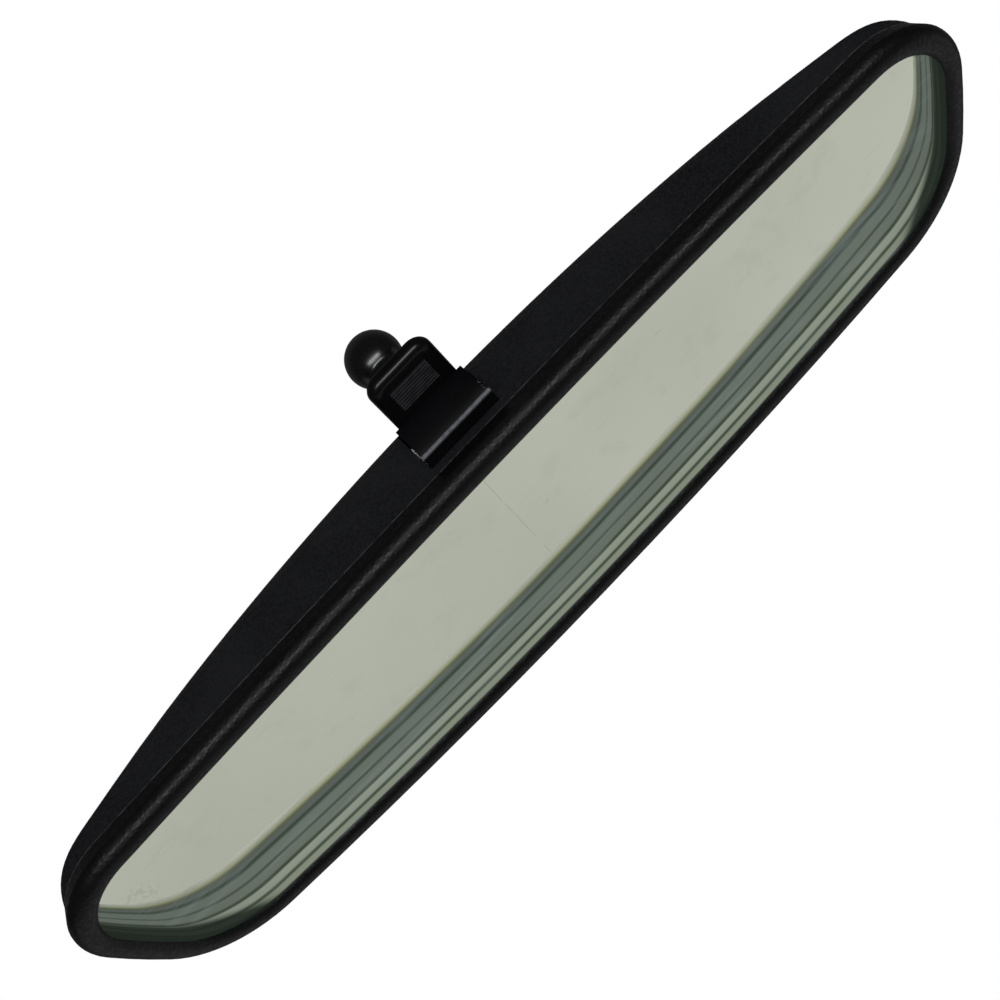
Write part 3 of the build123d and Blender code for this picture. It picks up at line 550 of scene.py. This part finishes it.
class MirrorFinishes(PropertyGroup):
    """Colours and grain sizes of the mirror's own pieces."""

    case_black: FloatVectorProperty(name="Case black", description="Colour of the moulded case", size=3,
                                    subtype="COLOR", min=0.0, max=1.0, default=(0.0046, 0.0049, 0.0058))
    bezel_black: FloatVectorProperty(name="Bezel black", description="Colour of the front frame", size=3,
                                     subtype="COLOR", min=0.0, max=1.0, default=(0.0014, 0.0014, 0.0018))
    lever_black: FloatVectorProperty(name="Lever black", description="Colour of the lever and the ledge",
                                     size=3, subtype="COLOR", min=0.0, max=1.0,
                                     default=(0.0009, 0.0009, 0.0012))
    stud_black: FloatVectorProperty(name="Stud black", description="Colour of the ball and its neck", size=3,
                                    subtype="COLOR", min=0.0, max=1.0, default=(0.0006, 0.0008, 0.0009))
    silver: FloatVectorProperty(name="Silver", description="Tint of the silvered glass", size=3,
                                subtype="COLOR", min=0.0, max=1.0, default=(0.86, 0.905, 0.76))
    case_pebble: FloatProperty(name="Case pebble", description="Size of the case's grain in millimetres",
                               default=0.55, min=0.2, max=3.0)
    bezel_pebble: FloatProperty(name="Bezel pebble", description="Size of the bezel's grain in millimetres",
                                default=0.95, min=0.2, max=3.0)
    band_reach: FloatProperty(name="Band reach", description="How far the bands run in from the rim",
                              default=0.0185, min=0.0, max=0.04, subtype="DISTANCE", unit="LENGTH")
    hair_place: FloatProperty(name="Hairline", description="Where the one long hairline crosses the glass",
                              default=0.0042, min=-0.1, max=0.1, subtype="DISTANCE", unit="LENGTH")


class MirrorStage(PropertyGroup):
    """Camera, lamps and floor."""

    camera_distance: FloatProperty(name="Camera distance", description="From the camera to the glass",
                                   default=0.450, min=0.2, max=3.0, subtype="DISTANCE", unit="LENGTH")
    camera_tilt: FloatProperty(name="Camera tilt", default=math.radians(56.0), subtype="ANGLE",
                               description="Between the view and a square view of the glass",
                               unit="ROTATION")
    camera_turn: FloatProperty(name="Camera turn", description="How far the view comes from one side",
                               default=math.radians(-1.75), subtype="ANGLE", unit="ROTATION")
    camera_roll: FloatProperty(name="Camera roll", description="Roll of the camera about its view",
                               default=math.radians(43.6), subtype="ANGLE", unit="ROTATION")
    focal_share: FloatProperty(name="Focal share", description="Focal length over the sensor's width",
                               default=2.288, min=0.5, max=10.0)
    floor_drop: FloatProperty(name="Floor drop", description="Floor below the ball's centre", default=0.85,
                              min=0.1, max=3.0, subtype="DISTANCE", unit="LENGTH")
    key_power: FloatProperty(name="Key power", description="Power of the large lamp", default=5.0, min=0.0,
                             max=500.0, subtype="POWER", unit="POWER")
    fill_power: FloatProperty(name="Fill power", description="Power of the second lamp", default=18.0,
                              min=0.0, max=500.0, subtype="POWER", unit="POWER")
    room_level: FloatProperty(name="Room level", description="Soft light from all round", default=0.5,
                              min=0.0, max=2.0)
    back_level: FloatProperty(name="Back level", description="What the case's back sees behind it",
                              default=0.05, min=0.0, max=2.0)
    card_level: FloatProperty(name="Card level", description="What the mirror sees in front of it",
                              default=0.53, min=0.0, max=2.0)


# ---------------------------------------------------------------------------------------------------------
# Operators
# ---------------------------------------------------------------------------------------------------------

class FinishCase(Operator):
    """Fine matt grain on the case, and coarse leather grain on the bezel"""

    bl_idname = "rearmirror.finish_case"
    bl_label = "Case and bezel"

    def execute(self, context):
        sizes = context.scene.mirror_finishes
        housing = grained_plastic("Housing plastic", sizes.case_black, sizes.case_pebble, fine_share=0.45,
                                  roughness=0.42, gloss=0.08, wear=0.2, dust=0.04,
                                  rubbed_tint=(0.010, 0.010, 0.012))
        # The bezel gets a painted highlight along its rear edge, at the seam.
        bezel = grained_plastic("Bezel plastic", sizes.bezel_black, sizes.bezel_pebble, fine_share=0.30,
                                roughness=0.35, gloss=0.16, wear=0.3, dust=0.01,
                                rubbed_tint=(0.0035, 0.0035, 0.0045), bright=seam_line)
        dress(housing, "rear_housing")
        dress(bezel, "front_bezel")
        return {"FINISHED"}


class FinishGlass(Operator):
    """Silvered glass, its coating and the film behind it"""

    bl_idname = "rearmirror.finish_glass"
    bl_label = "Glass"

    def execute(self, context):
        sizes = context.scene.mirror_finishes
        coating = worked_steel("Silver coating", (0.62, 0.63, 0.58), roughness=0.12, brush=(60.0, 60.0, 60.0))
        film = smooth_plastic("Backing film", (0.10, 0.11, 0.12), roughness=0.55, gloss=0.3, wear=0.0,
                              dust=0.2)
        dress(silvered_glass("Silvered glass", sizes), "mirror_glass")
        dress(coating, "silver_coating")
        dress(film, "backing_film")
        return {"FINISHED"}


class FinishLever(Operator):
    """Smooth black lever and the ledge of its slot"""

    bl_idname = "rearmirror.finish_lever"
    bl_label = "Lever and ledge"

    def execute(self, context):
        sizes = context.scene.mirror_finishes
        # The lever gets painted highlights on its ribs' crests, and the ledge gets one along its tip.
        lever = smooth_plastic("Lever plastic", sizes.lever_black, roughness=0.40, gloss=0.02, wear=0.3,
                               dust=0.02, bright=grip_lines, bright_tint=(0.020, 0.020, 0.022),
                               coat=tab_polish)
        ledge = smooth_plastic("Ledge plastic", sizes.lever_black, roughness=0.26, gloss=0.16, wear=0.3,
                               dust=0.02, bright=ledge_lip, bright_tint=(0.060, 0.061, 0.066))
        dress(lever, "day_night_lever")
        dress(ledge, "slot_trim")
        return {"FINISHED"}


class FinishStud(Operator):
    """Glossy black ball stud, and the plate and seals that carry it"""

    bl_idname = "rearmirror.finish_stud"
    bl_label = "Ball stud"

    def execute(self, context):
        sizes = context.scene.mirror_finishes
        stud = smooth_plastic("Stud coating", sizes.stud_black, roughness=0.25, gloss=0.50, wear=0.2,
                              dust=0.01, ripple=0.0000004)
        carrier = smooth_plastic("Carrier plastic", (0.018, 0.018, 0.019), roughness=0.55, gloss=0.3,
                                 wear=0.5, dust=0.1)
        rubber = smooth_plastic("Seal rubber", (0.012, 0.012, 0.012), roughness=0.75, gloss=0.2, wear=0.2,
                                dust=0.4)
        dress(stud, "ball_stud")
        dress(carrier, "stud_carrier")
        dress(rubber, "dust_shield", "stop_bumpers")
        return {"FINISHED"}


class FinishMechanism(Operator):
    """Frame, pins, screws, spring, bushes and foam inside the case"""

    bl_idname = "rearmirror.finish_mechanism"
    bl_label = "Mechanism"

    def execute(self, context):
        inner_frame = smooth_plastic("Frame plastic", (0.045, 0.045, 0.050), roughness=0.50, gloss=0.35,
                                     wear=0.5, dust=0.1)
        acetal = smooth_plastic("Acetal", (0.72, 0.71, 0.66), roughness=0.40, gloss=0.5, wear=0.1, dust=0.05)
        plated = worked_steel("Plated steel", (0.56, 0.56, 0.57), roughness=0.28,
                              brush=(300.0, 2500.0, 2500.0))
        spring = worked_steel("Spring steel", (0.40, 0.40, 0.43), roughness=0.24,
                              brush=(300.0, 2500.0, 900.0))
        dress(inner_frame, "mechanism_frame")
        dress(acetal, "hinge_bushes", "lever_spacers")
        dress(plated, "stud_washer", "stud_nut", "hinge_pin", "lever_pin", "drive_pin", "pin_retainers",
              "frame_screws", "spring_rivets", "friction_washers")
        dress(spring, "detent_spring")
        dress(open_foam("Foam", (0.045, 0.045, 0.048)), "foam_cushions")
        return {"FINISHED"}


def add_lamp(name, power, sides, place_at, aim, tint):
    """An area lamp at a place, turned to a point, with its long side along X."""
    data = bpy.data.lights.new(name, "AREA")
    data.shape = "RECTANGLE"
    data.size, data.size_y = sides
    data.energy = power
    data.color = tint
    lamp = bpy.data.objects.new(name, data)
    bpy.context.scene.collection.objects.link(lamp)
    back = (Vector(place_at) - Vector(aim)).normalized()
    long = (Vector((1.0, 0.0, 0.0)) - back * back.x).normalized()
    turned = Matrix((long, back.cross(long), back)).transposed().to_4x4()
    lamp.matrix_world = Matrix.Translation(Vector(place_at)) @ turned
    return lamp


class SetStage(Operator):
    """Floor, world, lamps and camera"""

    bl_idname = "rearmirror.set_stage"
    bl_label = "Stage"

    def execute(self, context):
        stage = context.scene.mirror_stage
        self.set_world(context.scene, stage)
        self.add_floor(stage)
        self.add_camera(context.scene, stage)
        aim = (0.0, -0.05, 0.0)
        add_lamp("Key strip", stage.key_power, (0.9, 0.12), (0.02, -0.46, -0.66), aim, (0.98, 0.99, 1.0))
        fill = add_lamp("Fill lamp", stage.fill_power, (0.9, 0.9), (-0.5, 0.6, 0.8), aim, (0.97, 0.98, 1.0))
        fill.visible_glossy = False
        return {"FINISHED"}

    def set_world(self, scene, stage):
        """White behind the object, pale cards and a dim room in its reflections, soft light from all round."""
        world = bpy.data.worlds.new("Soft box")
        scene.world = world
        world.use_nodes = True
        world.node_tree.nodes.clear()
        helper = Tree(world.node_tree)
        out = helper.node("ShaderNodeOutputWorld")
        path = helper.node("ShaderNodeLightPath")
        _, y, z = helper.parts(helper.node("ShaderNodeTexCoord").outputs["Generated"])
        front_card = helper.product(helper.map_range(y, -0.25, -0.05, 1.0, 0.0),
                                    helper.map_range(z, 0.0, 0.35))
        card = helper.math("MULTIPLY_ADD", front_card, stage.card_level - DIM_ROOM, DIM_ROOM)
        rise = helper.math("MULTIPLY_ADD", z, 0.8, y)
        back_card = helper.product(helper.map_range(rise, 0.3, 0.7), helper.map_range(y, 0.0, 0.2))
        card = helper.math("MULTIPLY_ADD", back_card, stage.back_level, card)
        seen = helper.math("MAXIMUM", path.outputs["Is Camera Ray"], path.outputs["Is Transmission Ray"])
        change = helper.math("SUBTRACT", card, stage.room_level)
        reflected = helper.product(path.outputs["Is Glossy Ray"], change)
        soft = helper.math("ADD", reflected, stage.room_level)
        strength = helper.math("MAXIMUM", soft, seen)
        back = helper.node("ShaderNodeBackground", sockets={"Color": WHITE, "Strength": strength})
        world.node_tree.links.new(back.outputs[0], out.inputs[0])
        return world

    def add_floor(self, stage):
        """A flat pale floor: clear from below, so the camera sees past it, and clear to reflections."""
        mesh = bpy.data.meshes.new("Floor")
        half = 3.0
        low = -stage.floor_drop
        mesh.from_pydata([(-half, -half, low), (half, -half, low), (half, half, low), (-half, half, low)],
                         [], [(0, 1, 2, 3)])
        floor = bpy.data.objects.new("Floor", mesh)
        bpy.context.scene.collection.objects.link(floor)
        made = bpy.data.materials.new("Pale floor")
        made.use_nodes = True
        made.node_tree.nodes.clear()
        helper = Tree(made.node_tree)
        out = helper.node("ShaderNodeOutputMaterial")
        tone = helper.noise(helper.object_place(), 6.0, 2.0)
        pale = helper.mix(tone, (0.86, 0.86, 0.86, 1.0), (0.90, 0.90, 0.90, 1.0))
        diffuse = helper.node("ShaderNodeBsdfDiffuse", sockets={"Color": pale})
        glow = helper.node("ShaderNodeEmission", sockets={"Color": WHITE, "Strength": 0.5})
        lit = helper.node("ShaderNodeAddShader", sockets={0: diffuse.outputs[0], 1: glow.outputs[0]})
        clear = helper.node("ShaderNodeBsdfTransparent")
        below = helper.node("ShaderNodeNewGeometry").outputs["Backfacing"]
        mirrored = helper.node("ShaderNodeLightPath").outputs["Is Glossy Ray"]
        unseen = helper.math("MAXIMUM", below, mirrored)
        sided = helper.node("ShaderNodeMixShader",
                            sockets={0: unseen, 1: lit.outputs[0], 2: clear.outputs[0]})
        made.node_tree.links.new(sided.outputs[0], out.inputs[0])
        mesh.materials.append(made)
        return floor

    def add_camera(self, scene, stage):
        """The camera looks up at the glass from below, rolled so that the mirror lies on a diagonal."""
        aim = Vector((0.00428, -0.056, -0.011))
        tilt = stage.camera_tilt
        turn = stage.camera_turn
        back = Vector((-math.sin(turn), -math.cos(tilt) * math.cos(turn), -math.sin(tilt) * math.cos(turn)))
        up = Vector((0.0, 0.0, -1.0))
        up = (up - back * up.dot(back)).normalized()
        right = up.cross(back)
        roll = stage.camera_roll
        side = right * math.cos(roll) - up * math.sin(roll)
        head = right * math.sin(roll) + up * math.cos(roll)
        data = bpy.data.cameras.new("Camera")
        data.sensor_width = 36.0
        data.lens = stage.focal_share * data.sensor_width
        data.clip_start = 0.01
        camera = bpy.data.objects.new("Camera", data)
        scene.collection.objects.link(camera)
        turned = Matrix((side, head, back)).transposed().to_4x4()
        camera.matrix_world = Matrix.Translation(aim + back * stage.camera_distance) @ turned
        scene.camera = camera
        return camera


class REARMIRROR_PT_panel(Panel):
    """Lists the mirror's finishes, its stage and the operators that make them"""

    bl_label = "Rear mirror"
    bl_idname = "REARMIRROR_PT_panel"
    bl_space_type = "VIEW_3D"
    bl_region_type = "UI"
    bl_category = "Rear mirror"

    def draw(self, context):
        column = self.layout.column()
        for group in (context.scene.mirror_finishes, context.scene.mirror_stage):
            for name in group.__annotations__:
                column.prop(group, name)
        for made in OPERATORS:
            column.operator(made.bl_idname)


OPERATORS = (FinishCase, FinishGlass, FinishLever, FinishStud, FinishMechanism, SetStage)
CLASSES = (MirrorFinishes, MirrorStage) + OPERATORS + (REARMIRROR_PT_panel,)


def register():
    for made in CLASSES:
        bpy.utils.register_class(made)
    bpy.types.Scene.mirror_finishes = PointerProperty(type=MirrorFinishes)
    bpy.types.Scene.mirror_stage = PointerProperty(type=MirrorStage)


def unregister():
    del bpy.types.Scene.mirror_stage
    del bpy.types.Scene.mirror_finishes
    for made in reversed(CLASSES):
        bpy.utils.unregister_class(made)


def main():
    register()
    bpy.context.scene.view_settings.view_transform = "Standard"
    bpy.ops.rearmirror.finish_case()
    bpy.ops.rearmirror.finish_glass()
    bpy.ops.rearmirror.finish_lever()
    bpy.ops.rearmirror.finish_stud()
    bpy.ops.rearmirror.finish_mechanism()
    bpy.ops.rearmirror.set_stage()


if __name__ == "__main__":
    main()
